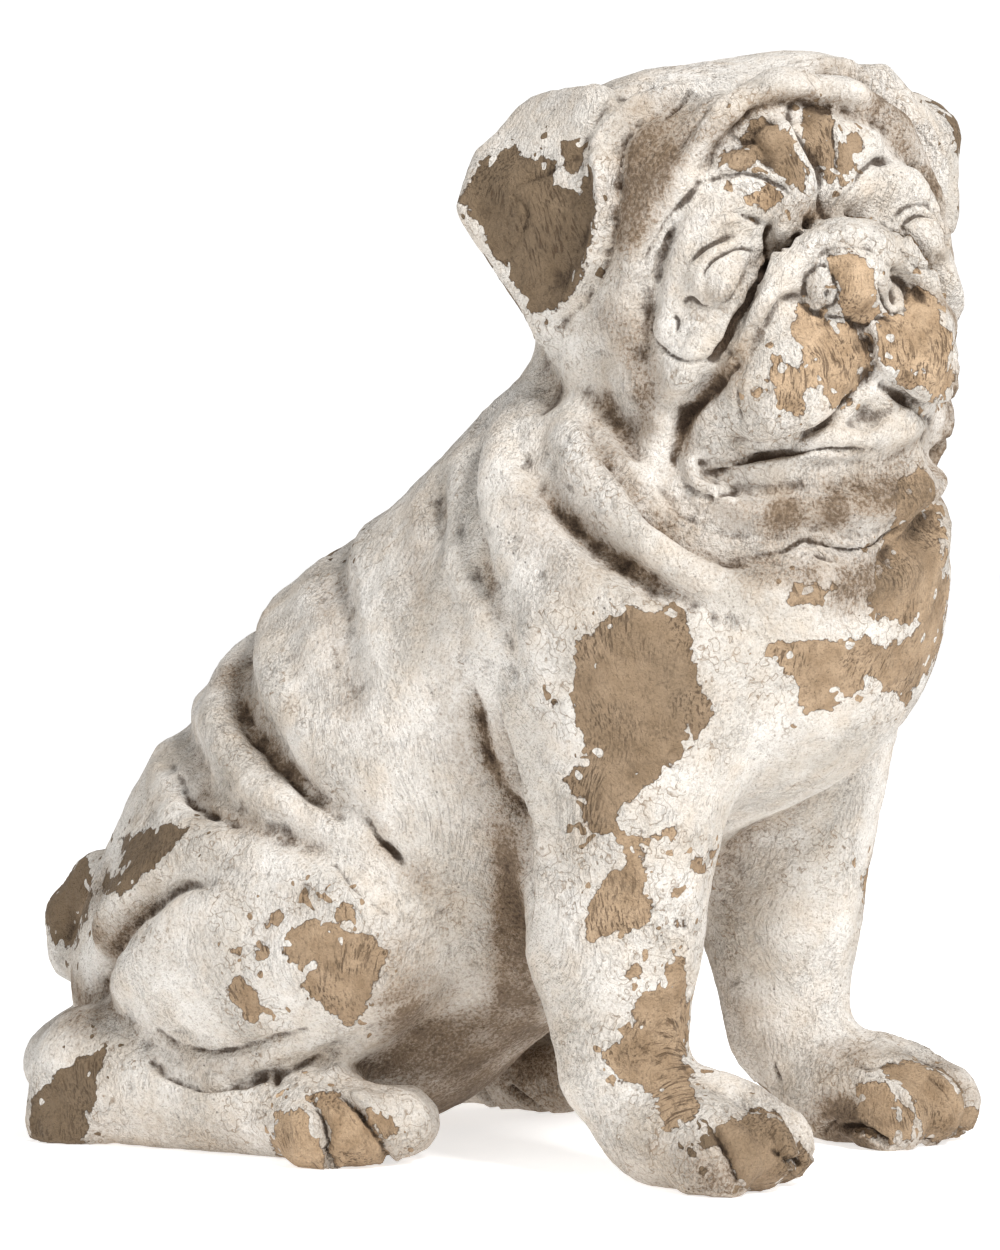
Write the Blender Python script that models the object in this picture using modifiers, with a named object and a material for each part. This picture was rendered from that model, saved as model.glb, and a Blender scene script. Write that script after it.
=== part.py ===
"""Seated pug garden statue, cast as one piece, in metres with +Z up.

The dog faces -Y and its left side is +X. The origin is the middle of its footprint, on the
ground. The form is built as a modeller works in clay: lumps are blended into one skin, folds
are carved into it with strokes, and the underside is cut flat.
"""

import math

import bmesh
import bpy
import numpy as np
from mathutils import Matrix, Vector
from mathutils.bvhtree import BVHTree

# Driving dimensions. The figure is laid out in shares of its height: U is one 440th of it.
STATUE_HEIGHT = 0.440
U = STATUE_HEIGHT / 440

SKIN_VOXEL = 3.2 * U          # grid of the skin before it is thinned out
CARVED_VOXEL = 2.2 * U        # grid of the skin after carving, which clears any crossed folds
FACE_LIMIT = 9400             # triangles in the finished solid
CARVE_STEP = 1.5 * U          # spacing of the points along a carved stroke

# Head pose: the neck turns the head to the dog's right and tips that side down.
HEAD_PLACE = (-7, 133, 340)   # middle of the skull: side, front, up
HEAD_TURN = math.radians(-36)
HEAD_TIP = math.radians(10)
HEAD_NOD = math.radians(-2)

# Middles of the toes, as (side, front, up): of a hind paw, and of a front paw from its own middle.
HIND_TOES = [(104, -6, 13), (96, 8, 15), (83, 16, 16), (69, 12, 15)]
FRONT_TOES = [(-25, 158, 13), (-9, 167, 16), (9, 167, 16), (25, 158, 13)]

# The four lobes of loose skin on the forehead, each from its top to its foot.
FOREHEAD_LOBES = [((-28, 50, 50), (-19, 57, 32)), ((-10, 54, 58), (-4, 61, 30)),
                  ((11, 54, 58), (7, 61, 30)), ((28, 50, 52), (20, 57, 34))]

FAR_PAW_AHEAD = 7             # how far the dog's left forefoot stands ahead of its right

STONE = (0.72, 0.68, 0.61, 1.0)


def body(side, front, up):
    """A point of the body in metres, from its place in U: left of, ahead of and above the origin."""
    return Vector((side, -front, up)) * U


def head_axes():
    """Matrix whose columns are the head's left, its face direction and its up."""
    turn = Matrix.Rotation(HEAD_TURN, 3, "Z")
    left = turn @ Vector((1, 0, 0))
    face = turn @ Vector((0, -1, 0))
    tip = Matrix.Rotation(HEAD_TIP, 3, face)
    left = tip @ left
    crown = tip @ Vector((0, 0, 1))
    nod = Matrix.Rotation(-HEAD_NOD, 3, left)
    face = nod @ face
    crown = nod @ crown
    return Matrix((left, face, crown)).transposed()


HEAD_AXES = head_axes()


def head(side, front, up):
    """A point of the head in metres, from its place in U along the head's own axes."""
    return body(*HEAD_PLACE) + HEAD_AXES @ (Vector((side, front, up)) * U)


BODY_AXES = Matrix(((1, 0, 0), (0, -1, 0), (0, 0, 1))).transposed()


class Ball:
    """An ellipsoid lump. radii go with the side, front and up axes, turned by degrees about each."""

    def __init__(self, place, centre, radii, turn=(0, 0, 0), blend=14):
        self.centre = place(*centre)
        self.radii = Vector(radii) * U
        self.blend = blend * U
        base = HEAD_AXES if place is head else BODY_AXES
        spin = Matrix.Identity(3)
        for axis, angle in zip("XYZ", turn):
            spin = Matrix.Rotation(math.radians(angle), 3, axis) @ spin
        self.axes = base @ spin

    def reach(self):
        return self.centre, max(self.radii)

    def distance(self, points):
        local = (points - np.array(self.centre)) @ np.array(self.axes)
        radii = np.array(self.radii)
        inner = np.linalg.norm(local / radii, axis=1)
        outer = np.linalg.norm(local / radii ** 2, axis=1)
        return inner * (inner - 1) / np.maximum(outer, 1e-9)

    def add_to(self, mesh):
        place = Matrix.Translation(self.centre) @ (self.axes @ Matrix.Diagonal(self.radii)).to_4x4()
        bmesh.ops.create_icosphere(mesh, subdivisions=3, radius=1, matrix=place)


class Limb:
    """A rounded cone between two points, each with its own radius."""

    def __init__(self, place, start, start_radius, end, end_radius, blend=14):
        self.start, self.end = place(*start), place(*end)
        self.start_radius, self.end_radius = start_radius * U, end_radius * U
        self.blend = blend * U

    def reach(self):
        middle = (self.start + self.end) / 2
        return middle, (self.end - self.start).length / 2 + max(self.start_radius, self.end_radius)

    def distance(self, points):
        start, along = np.array(self.start), np.array(self.end - self.start)
        share = np.clip((points - start) @ along / (along @ along), 0, 1)
        off = np.linalg.norm(points - start - share[:, None] * along, axis=1)
        return off - (self.start_radius + share * (self.end_radius - self.start_radius))

    def add_to(self, mesh):
        limb = bmesh.new()
        for centre, radius in ((self.start, self.start_radius), (self.end, self.end_radius)):
            bmesh.ops.create_icosphere(
                limb, subdivisions=3, radius=radius, matrix=Matrix.Translation(centre))
        hull = bmesh.ops.convex_hull(limb, input=limb.verts)
        bmesh.ops.delete(limb, geom=list(set(hull["geom_interior"])), context="VERTS")
        held = bpy.data.meshes.new("limb")
        limb.to_mesh(held)
        limb.free()
        mesh.from_mesh(held)
        bpy.data.meshes.remove(held)


def pair(make, place, *args, **kwargs):
    """A lump and its mirror image across the middle plane of the body or head."""
    def flip(value):
        return (-value[0], *value[1:]) if isinstance(value, tuple) and len(value) == 3 else value
    turn = kwargs.get("turn", (0, 0, 0))
    left = make(place, *args, **kwargs)
    if make is Ball:
        centre, radii = args
        kwargs["turn"] = (turn[0], -turn[1], -turn[2])
        right = Ball(place, flip(centre), radii, **kwargs)
    else:
        right = Limb(place, *[flip(a) for a in args], **kwargs)
    return [left, right]


def torso():
    lumps = [
        Limb(body, (0, -52, 94), 97, (0, 92, 233), 91, blend=20),
        Ball(body, (0, 122, 226), (84, 86, 90), blend=26),
        Ball(body, (0, 10, 140), (84, 92, 74), blend=24),
        Ball(body, (0, -2, 143), (88, 101, 101), blend=20),
        Limb(body, (0, 110, 276), 66, (-4, 132, 326), 56, blend=14),
    ]
    return lumps


def tail():
    """A tight curl carried over the rump."""
    curl = [((0, -150, 96), 13), ((4, -172, 93), 14), ((7, -186, 79), 14),
            ((3, -184, 64), 12), ((-6, -172, 62), 9)]
    return [Limb(body, a, ra, b, rb, blend=5) for (a, ra), (b, rb) in zip(curl, curl[1:])]


def hind_quarters():
    lumps = [
        Ball(body, (0, -118, 60), (70, 50, 60), blend=24),
        Ball(body, (0, -160, 20), (50, 38, 26), blend=10),
    ]
    lumps += pair(Ball, body, (74, -46, 84), (42, 74, 56), blend=12)
    lumps += pair(Ball, body, (82, 2, 92), (31, 32, 36), blend=16)
    lumps += pair(Limb, body, (80, -120, 26), 28, (84, -22, 20), 21, blend=6)
    lumps += pair(Ball, body, (80, -128, 8), (26, 22, 22), blend=6)
    lumps += pair(Ball, body, (84, -4, 14), (26, 28, 18), blend=8)
    for toe in HIND_TOES:
        lumps += pair(Ball, body, toe, (11, 18, 15), blend=3)
    return lumps


def front_leg(side, ahead):
    """A foreleg on one side, its paw a little ahead of or behind the other's."""
    x = side * 68
    lumps = [
        Ball(body, (side * 66, 92, 220), (38, 54, 74), blend=18),
        Limb(body, (side * 66, 112 + ahead, 200), 49, (x, 106 + ahead, 90), 32, blend=16),
        Limb(body, (x, 105 + ahead, 90), 31, (x, 109 + ahead, 42), 25, blend=10),
        Ball(body, (x, 140 + 1.6 * ahead, 19), (32, 38, 24), blend=12),
    ]
    for step, front, up in FRONT_TOES:
        toe = (x + side * step, front + 1.6 * ahead, up)
        lumps.append(Ball(body, toe, (11, 19, 17), blend=3))
    return lumps


def chain(place, stops, blend):
    """Limbs strung through (side, front, up, radius) stops, on both sides of the middle plane."""
    lumps = []
    for (*start, start_radius), (*end, end_radius) in zip(stops, stops[1:]):
        lumps += pair(Limb, place, tuple(start), start_radius, tuple(end), end_radius, blend=blend)
    return lumps


def skull():
    lumps = [
        Ball(head, (0, -8, 0), (84, 72, 76), blend=14),
        Ball(head, (0, 22, -72), (50, 52, 34), blend=12),
    ]
    lumps += pair(Ball, head, (27, -8, 42), (54, 56, 46), blend=18)
    lumps += pair(Ball, head, (36, 14, -28), (34, 44, 42), blend=14)
    return lumps


def muzzle():
    lumps = [
        Ball(head, (0, 50, -24), (44, 32, 36), blend=10),
        Ball(head, (0, 76, 4), (18, 13, 14), blend=3),
        Ball(head, (0, 60, -58), (30, 22, 9), blend=4),
        Ball(head, (0, 46, -80), (42, 32, 19), blend=8),
    ]
    lumps += pair(Ball, head, (25, 64, -30), (27, 24, 24), blend=4)
    lumps += pair(Limb, head, (30, 60, -38), 17, (45, 40, -48), 12, blend=6)
    lumps += chain(head, [(0, 77, 19, 6), (12, 76, 17, 6), (24, 72, 9, 6), (35, 68, -3, 6),
                          (44, 61, -17, 6), (49, 51, -34, 6)], blend=4)
    return lumps


def brows():
    lumps = []
    lumps += pair(Limb, head, (35, 46, 32), 16, (48, 44, -14), 19, blend=7)
    lumps += pair(Ball, head, (43, 57, 8), (15, 10, 13), blend=2)
    lumps += chain(head, [(0, 44, 74, 9), (24, 43, 67, 9), (46, 38, 48, 9), (62, 29, 26, 8),
                          (69, 23, 0, 7), (66, 28, -26, 7), (64, 30, -46, 7), (56, 40, -70, 8)],
                   blend=7)
    for top, foot in FOREHEAD_LOBES:
        lumps.append(Limb(head, top, 9, foot, 7, blend=3))
    return lumps


def ear(side, root_front, root_back, outer, tip, belly):
    """A folded ear flap: ribs fanned from its root on the skull to its outer edge and its tip."""
    ribs = 7
    lumps = []
    for i in range(ribs):
        share = i / (ribs - 1)
        top = [a + (b - a) * share for a, b in zip(root_front, root_back)]
        low = [a + (b - a) * share for a, b in zip(tip, outer)]
        bulge = math.sin(math.pi * share) * 4
        middle = [(a + b) / 2 for a, b in zip(top, low)]
        middle[0] += bulge + belly
        middle[1] += bulge
        points = [(p[0] * side, p[1], p[2]) for p in (top, middle, low)]
        lumps.append(Limb(head, points[0], 7, points[1], 6, blend=6))
        lumps.append(Limb(head, points[1], 6, points[2], 5, blend=6))
    return lumps


def ears():
    near = ear(-1, (60, 12, 80), (64, -34, 78), (101, -32, 46), (86, -8, -2), belly=5)
    far = ear(1, (68, 4, 70), (66, -34, 66), (112, -26, 44), (94, -6, 8), belly=12)
    return near + far


def blended(lumps, points):
    """Signed distance from each point to the skin that all the lumps share, below zero inside."""
    value = np.full(len(points), 1e3)
    for lump in lumps:
        centre, radius = lump.reach()
        gap = np.linalg.norm(points - np.array(centre), axis=1) - radius
        near = gap < 2 * lump.blend + 20 * U
        here = lump.distance(points[near])
        old = value[near]
        overlap = np.maximum(lump.blend - np.abs(old - here), 0) / lump.blend
        value[near] = np.minimum(old, here) - overlap ** 2 * lump.blend / 4
    return value


def steepest(lumps, points):
    """Direction in which the distance grows fastest, by central differences."""
    step = 0.5 * U
    slope = np.empty_like(points)
    for axis in range(3):
        nudge = np.zeros(3)
        nudge[axis] = step
        slope[:, axis] = blended(lumps, points + nudge) - blended(lumps, points - nudge)
    return slope / np.maximum(np.linalg.norm(slope, axis=1), 1e-12)[:, None]


def get_points(mesh):
    points = np.empty(len(mesh.vertices) * 3)
    mesh.vertices.foreach_get("co", points)
    return points.reshape(-1, 3)


def set_points(mesh, points):
    mesh.vertices.foreach_set("co", points.ravel())
    mesh.update()


def draw_to_skin(mesh, lumps, rounds):
    """Moves each vertex onto the blended skin, a step at a time."""
    points = get_points(mesh)
    for _ in range(rounds):
        gap = np.clip(blended(lumps, points), -6 * U, 6 * U)
        points -= gap[:, None] * steepest(lumps, points) * 0.9
    set_points(mesh, points)


def apply_modifier(statue, name, kind, **settings):
    modifier = statue.modifiers.new(name, kind)
    for key, value in settings.items():
        setattr(modifier, key, value)
    seen = statue.evaluated_get(bpy.context.evaluated_depsgraph_get())
    made = bpy.data.meshes.new_from_object(seen)
    statue.modifiers.clear()
    old = statue.data
    statue.data = made
    bpy.data.meshes.remove(old)


def skin_over(lumps, name):
    """One closed skin over all the lumps: a voxel skin of the plain lumps, drawn to their blend."""
    mesh = bpy.data.meshes.new(name)
    clay = bmesh.new()
    for lump in lumps:
        lump.add_to(clay)
    clay.to_mesh(mesh)
    clay.free()
    statue = bpy.data.objects.new(name, mesh)
    bpy.context.scene.collection.objects.link(statue)
    for voxel, rounds in ((5 * U, 5), (SKIN_VOXEL, 2)):
        apply_modifier(statue, "Skin", "REMESH", mode="VOXEL", voxel_size=voxel)
        draw_to_skin(statue.data, lumps, rounds)
    return statue


def smooth_route(stops):
    """Points CARVE_STEP apart along a curve through the stops (Catmull-Rom)."""
    ends = [2 * stops[0] - stops[1]] + stops + [2 * stops[-1] - stops[-2]]
    route = []
    for before, start, end, after in zip(ends, ends[1:], ends[2:], ends[3:]):
        count = max(2, math.ceil((end - start).length / CARVE_STEP))
        for i in range(count):
            t = i / count
            route.append(0.5 * (2 * start + (end - before) * t
                                + (2 * before - 5 * start + 4 * end - after) * t ** 2
                                + (3 * start - before - 3 * end + after) * t ** 3))
    return route + [stops[-1]]


def stroke_push(points, route, width, depth):
    """How far a stroke moves each point outwards: a cut with a soft lip, or a roll if depth < 0."""
    route = np.array(route)
    low, high = route.min(axis=0) - 4 * width, route.max(axis=0) + 4 * width
    near = np.flatnonzero(((points > low) & (points < high)).all(axis=1))
    gaps = np.linalg.norm(points[near, None] - route[None], axis=2)
    closest = gaps.argmin(axis=1)
    gap = gaps[np.arange(len(near)), closest] / width
    share = closest / (len(route) - 1)
    fade = np.sin(np.pi * np.clip(share, 0.04, 0.96)) ** 0.5
    profile = -np.exp(-gap ** 2) + 0.35 * np.exp(-((gap - 2) / 0.9) ** 2)
    push = np.zeros(len(points))
    push[near] = depth * fade * profile
    return push


def carve(statue, strokes):
    """Carves strokes of (place, width, depth, stops) and their mirror images into the skin."""
    mesh = statue.data
    points = get_points(mesh)
    normals = np.empty(len(points) * 3)
    mesh.vertices.foreach_get("normal", normals)
    skin = BVHTree.FromPolygons(points.tolist(), [tuple(p.vertices) for p in mesh.polygons])
    push = np.zeros(len(points))
    for place, width, depth, stops in strokes:
        for side in (1, -1):
            laid = [skin.find_nearest(place(x * side, y, z))[0] for x, y, z in stops]
            route = [skin.find_nearest(point)[0] for point in smooth_route(laid)]
            push += stroke_push(points, route, width * U, depth * U)
    push = np.clip(push, -11 * U, 6 * U)
    set_points(mesh, points + normals.reshape(-1, 3) * push[:, None])
    apply_modifier(statue, "Skin", "REMESH", mode="VOXEL", voxel_size=CARVED_VOXEL)
    apply_modifier(statue, "Ease", "SMOOTH", factor=0.4, iterations=1)


def face_folds():
    """Folds of the face: around the nose roll, eyes, mouth, cheeks and brow."""
    return [
        (head, 4, 8, [(54, 50, -25), (47, 56, -17), (33, 60, 3), (21, 62, 15), (10, 66, 26),
                      (1, 68, 29)]),
        (head, 3.5, 7, [(57, 54, -52), (43, 66, -55), (20, 78, -50), (8, 82, -40),
                        (0, 82, -34)]),
        (head, 5, 7, [(52, 60, -28), (60, 52, -34), (63, 48, -46), (60, 52, -60),
                      (48, 60, -70), (30, 68, -74)]),
        (head, 3, 3, [(56, 54, 8), (50, 62, 2), (40, 66, 3), (31, 62, 9)]),
        (head, 3, 3, [(56, 54, 15), (50, 60, 24), (40, 62, 26), (30, 60, 19)]),
        (head, 4, 6, [(62, 36, -14), (62, 38, 8), (58, 40, 24), (46, 47, 39), (28, 55, 42)]),
        (head, 4, 6, [(44, 46, 46), (28, 51, 59), (10, 55, 66), (0, 56, 67)]),
        (head, 3, 4, [(0, 84, -10), (0, 84, -22), (0, 82, -34)]),
    ]


def body_folds():
    """Loose skin: collar rolls, folds down the flank, and the creases of the haunch and hock."""
    return [
        (body, 8, 9, [(50, 50, 320), (92, 84, 280), (100, 104, 256), (101, 133, 230),
                      (80, 158, 212)]),
        (body, 7, 8, [(60, 34, 292), (87, 48, 261), (100, 64, 235), (106, 79, 215),
                      (106, 82, 192)]),
        (body, 6, 6, [(65, 18, 269), (79, 29, 255), (88, 37, 242)]),
        (body, 8, 9, [(20, -84, 214), (50, -70, 198), (75, -55, 179), (88, -35, 163),
                      (94, -14, 148), (96, 3, 138), (94, 19, 123)]),
        (body, 7, 7, [(20, -42, 244), (60, -30, 235), (75, -14, 220), (88, -3, 200),
                      (92, 4, 185)]),
        (body, 7, 7, [(20, -118, 168), (60, -100, 164), (80, -76, 152), (85, -68, 141),
                      (90, -47, 133)]),
        (body, 7, 8, [(100, 70, 192), (98, 66, 176), (95, 72, 156), (92, 78, 130),
                      (86, 80, 100)]),
        (body, 6, 7, [(98, -43, 134), (101, -14, 126), (104, 11, 116), (100, 25, 104)]),
        (body, 7, 8, [(71, -126, 56), (102, -101, 81), (109, -82, 98), (110, -62, 109),
                      (108, -44, 114)]),
        (body, 4, 5, [(100, -85, 38), (101, -59, 32), (100, -33, 32), (92, -10, 40),
                      (90, 12, 53)]),
        (body, 4, 3, [(101, -78, 50), (104, -46, 46), (103, -13, 52)]),
    ]


def jaw_folds():
    """The deep groove under the jaw roll, all the way round."""
    return [(head, 7, 9, [(74, -6, -38), (72, 25, -59), (69, 45, -78), (53, 52, -90),
                          (35, 56, -94), (5, 58, -97), (0, 58, -97)])]


def cut_underside(statue):
    """Cuts everything below the ground away and closes the cut with flat faces."""
    clay = bmesh.new()
    clay.from_mesh(statue.data)
    geometry = clay.verts[:] + clay.edges[:] + clay.faces[:]
    bmesh.ops.bisect_plane(clay, geom=geometry, plane_co=(0, 0, 0), plane_no=(0, 0, 1),
                           clear_inner=True)
    rim = [edge for edge in clay.edges if edge.is_boundary]
    bmesh.ops.holes_fill(clay, edges=rim)
    bmesh.ops.triangulate(clay, faces=clay.faces)
    bmesh.ops.recalc_face_normals(clay, faces=clay.faces)
    clay.to_mesh(statue.data)
    clay.free()


def thin_out(statue, faces):
    count = sum(len(p.vertices) - 2 for p in statue.data.polygons)
    apply_modifier(statue, "Thin", "DECIMATE", ratio=min(1, faces / count))


def settle(statue):
    """Brings the casting to its exact height, with the middle of its footprint at the origin."""
    points = get_points(statue.data)
    low, high = points.min(axis=0), points.max(axis=0)
    middle = np.array(((low[0] + high[0]) / 2, (low[1] + high[1]) / 2, low[2]))
    set_points(statue.data, (points - middle) * STATUE_HEIGHT / (high[2] - low[2]))


def stone():
    material = bpy.data.materials.new("cast_stone")
    material.use_nodes = True
    shader = material.node_tree.nodes["Principled BSDF"]
    shader.inputs["Base Color"].default_value = STONE
    shader.inputs["Roughness"].default_value = 0.85
    return material


def main():
    for old in list(bpy.data.objects):
        bpy.data.objects.remove(old)
    lumps = torso() + tail() + hind_quarters()
    lumps += front_leg(-1, 0) + front_leg(1, FAR_PAW_AHEAD)
    lumps += skull() + muzzle() + brows() + ears()
    statue = skin_over(lumps, "statue")
    carve(statue, face_folds() + body_folds() + jaw_folds())
    thin_out(statue, FACE_LIMIT)
    cut_underside(statue)
    settle(statue)
    statue.data.materials.append(stone())
    return statue


main()
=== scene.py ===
# %% [markdown]
# # A cast stone pug for the garden
#
# The real statue is cast in one piece and painted with a whitewash, which was then rubbed,
# chipped and stained so that it looks old. This lesson starts from the plain solid of the dog,
# gives it a fine skin, carves the folds and the face into that skin, and then lays on the
# finishes: the wash, the bare tan patches where it has flaked off, and the dirt and painted shade
# in the folds.

import math

import bmesh
import bpy
import numpy as np
from mathutils import Matrix, Vector, noise
from mathutils.bvhtree import BVHTree


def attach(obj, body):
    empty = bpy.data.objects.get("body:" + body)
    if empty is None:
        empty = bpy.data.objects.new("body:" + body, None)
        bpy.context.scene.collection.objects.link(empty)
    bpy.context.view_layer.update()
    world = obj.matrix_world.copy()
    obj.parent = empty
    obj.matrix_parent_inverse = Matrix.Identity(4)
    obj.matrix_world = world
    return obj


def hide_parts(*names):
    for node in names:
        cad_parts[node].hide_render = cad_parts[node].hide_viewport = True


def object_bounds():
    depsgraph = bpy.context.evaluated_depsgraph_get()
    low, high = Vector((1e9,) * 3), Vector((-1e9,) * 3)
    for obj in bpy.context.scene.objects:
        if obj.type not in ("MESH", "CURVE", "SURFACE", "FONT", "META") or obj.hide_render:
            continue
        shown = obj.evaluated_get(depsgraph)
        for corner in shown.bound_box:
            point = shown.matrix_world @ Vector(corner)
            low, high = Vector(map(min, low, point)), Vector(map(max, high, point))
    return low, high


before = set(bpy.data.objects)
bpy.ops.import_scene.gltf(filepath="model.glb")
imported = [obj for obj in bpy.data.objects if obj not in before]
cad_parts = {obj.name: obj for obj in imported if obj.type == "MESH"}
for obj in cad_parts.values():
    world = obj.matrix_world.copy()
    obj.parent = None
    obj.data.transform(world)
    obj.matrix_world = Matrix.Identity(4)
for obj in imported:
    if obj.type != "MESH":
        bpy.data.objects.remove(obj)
cad_low, cad_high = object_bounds()
MM = 0.001
print("solid box in mm:", [round(v / MM, 1) for v in (*cad_low, *cad_high)])

# %% [markdown]
# ## The camera comes first
#
# Folds are placed where the photograph shows them, so the camera is needed before the carving.
# It stands low at the dog's right front, far back, with a long lens. A picture place is given in
# pixels of a frame 1000 wide and 1250 high.

# %% Camera
PHOTO_SIZE = (1000, 1250)
VIEW_TURN = math.radians(-62)
VIEW_RISE = math.radians(2.2)
VIEW_DISTANCE = 1.9
VIEW_TARGET = Vector((0, -0.0072, 0.210))
FOCAL_PIXELS = 4650

camera_back = Vector((math.sin(VIEW_TURN) * math.cos(VIEW_RISE),
                      -math.cos(VIEW_TURN) * math.cos(VIEW_RISE), math.sin(VIEW_RISE)))
camera_right = Vector((math.cos(VIEW_TURN), math.sin(VIEW_TURN), 0))
camera_up = camera_back.cross(camera_right)
camera_place = VIEW_TARGET + camera_back * VIEW_DISTANCE


def add_camera():
    lens = bpy.data.cameras.new("camera")
    lens.sensor_fit = "VERTICAL"
    lens.sensor_height = 36
    lens.lens = FOCAL_PIXELS / PHOTO_SIZE[1] * lens.sensor_height
    camera = bpy.data.objects.new("camera", lens)
    camera.location = camera_place
    camera.rotation_euler = (-camera_back).to_track_quat("-Z", "Y").to_euler()
    bpy.context.scene.collection.objects.link(camera)
    bpy.context.scene.camera = camera
    return camera


camera = add_camera()
print("lens in mm:", round(camera.data.lens, 1))

# %% [markdown]
# ## A fine skin
#
# A copy of the solid is merged, given an even grid of small faces by a voxel remesh, and
# eased, so that its facets and coarse folds are soft like fresh clay before the carving starts.

# %% Skin
CLAY_GRID = 1.7 * MM


def apply_modifier(piece, kind, **settings):
    modifier = piece.modifiers.new(kind, kind)
    for key, value in settings.items():
        setattr(modifier, key, value)
    seen = piece.evaluated_get(bpy.context.evaluated_depsgraph_get())
    made = bpy.data.meshes.new_from_object(seen)
    piece.modifiers.clear()
    old = piece.data
    piece.data = made
    bpy.data.meshes.remove(old)


def copy_solid(node, name):
    mesh = bpy.data.meshes.new(name)
    clay = bmesh.new()
    clay.from_mesh(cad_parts[node].data)
    bmesh.ops.remove_doubles(clay, verts=clay.verts, dist=0.01 * MM)
    clay.to_mesh(mesh)
    clay.free()
    piece = bpy.data.objects.new(name, mesh)
    bpy.context.scene.collection.objects.link(piece)
    return piece


dog = copy_solid("statue", "pug")
apply_modifier(dog, "REMESH", mode="VOXEL", voxel_size=CLAY_GRID)
apply_modifier(dog, "SMOOTH", factor=0.5, iterations=6)
print("skin points:", len(dog.data.vertices))

# %% [markdown]
# ## Strokes on the skin
#
# A carver draws a fold as a stroke. Here a stroke is a few picture places. Each is sent from the
# camera onto the skin, a smooth curve is run through them, and the points near the curve are
# pushed in or out by a soft profile. A crease cuts in with raised lips, and a roll pushes out.

# %% Skin held for carving
STROKE_STEP = 1.2 * MM
HAND_WOBBLE = 9 * MM              # along a stroke, how often the hand strays and presses


class Skin:
    """The points, normals and faces of the clay, held for carving and for ray casts."""

    def __init__(self, piece):
        self.mesh = piece.data
        self.points = self.read("co")
        self.normals = self.read("normal")
        self.tree = BVHTree.FromPolygons(
            self.points.tolist(), [tuple(face.vertices) for face in self.mesh.polygons])
        self.push = np.zeros(len(self.points))

    def read(self, name):
        values = np.empty(len(self.mesh.vertices) * 3)
        self.mesh.vertices.foreach_get(name, values)
        return values.reshape(-1, 3)

    def seen_at(self, u, v):
        """Where the picture place (u, v) falls on the skin, or the nearest place if it misses."""
        toward = (-camera_back + camera_right * ((u - PHOTO_SIZE[0] / 2) / FOCAL_PIXELS)
                  - camera_up * ((v - PHOTO_SIZE[1] / 2) / FOCAL_PIXELS)).normalized()
        hit = self.tree.ray_cast(camera_place, toward)[0]
        return hit or self.tree.find_nearest(camera_place + toward * VIEW_DISTANCE)[0]

    def settle(self, limit_in, limit_out):
        """Moves the points along their normals by what was asked, inside the solid's box."""
        push = np.clip(self.push, -limit_in, limit_out)[:, None]
        moved = np.clip(self.points + self.normals * push, cad_low, cad_high)
        self.mesh.vertices.foreach_set("co", moved.ravel())
        self.mesh.update()
        print("deepest cut and highest roll in mm:", (push.min() / MM).round(1),
              (push.max() / MM).round(1))


def curve_through(stops):
    """Points STROKE_STEP apart on a smooth curve through the stops (Catmull-Rom)."""
    ends = [2 * stops[0] - stops[1]] + stops + [2 * stops[-1] - stops[-2]]
    curve = []
    for before, start, end, after in zip(ends, ends[1:], ends[2:], ends[3:]):
        count = max(2, math.ceil((end - start).length / STROKE_STEP))
        for i in range(count):
            t = i / count
            curve.append(0.5 * (2 * start + (end - before) * t
                                + (2 * before - 5 * start + 4 * end - after) * t ** 2
                                + (3 * start - before - 3 * end + after) * t ** 3))
    return curve + [stops[-1]]


# %% Profiles
# A profile gets how far a point lies from the stroke, in widths: `gap` is never below zero, and
# `side` is above zero on the right hand of the stroke as it is drawn.
def crease(gap, side):
    return -np.exp(-gap ** 2) + 0.25 * np.exp(-((gap - 1.9) / 0.8) ** 2)


def roll(gap, side):
    return np.exp(-gap ** 2)


def fold(gap, side):
    """Loose skin that laps over: a steep lip on the right hand, a long slope on the left."""
    slope = np.where(side > 0, 0.6, 2.2)
    return -np.exp(-(gap / slope) ** 2) + 0.35 * np.exp(-((side - 1.9) / 1.1) ** 2)


print("a fold one width to either side:", fold(1.0, 1.0).round(2), fold(1.0, -1.0).round(2))


# %% Strokes
HAND_STRAY = 0.9 * MM             # how far the hand strays from the drawn line
HAND_PRESSURE = 0.5               # how much harder or softer it presses
PROFILE_REACH = 4                 # in widths, where a profile has died out
FACING_GAIN = 1.5                 # how late a push fades on skin that faces another way


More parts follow.
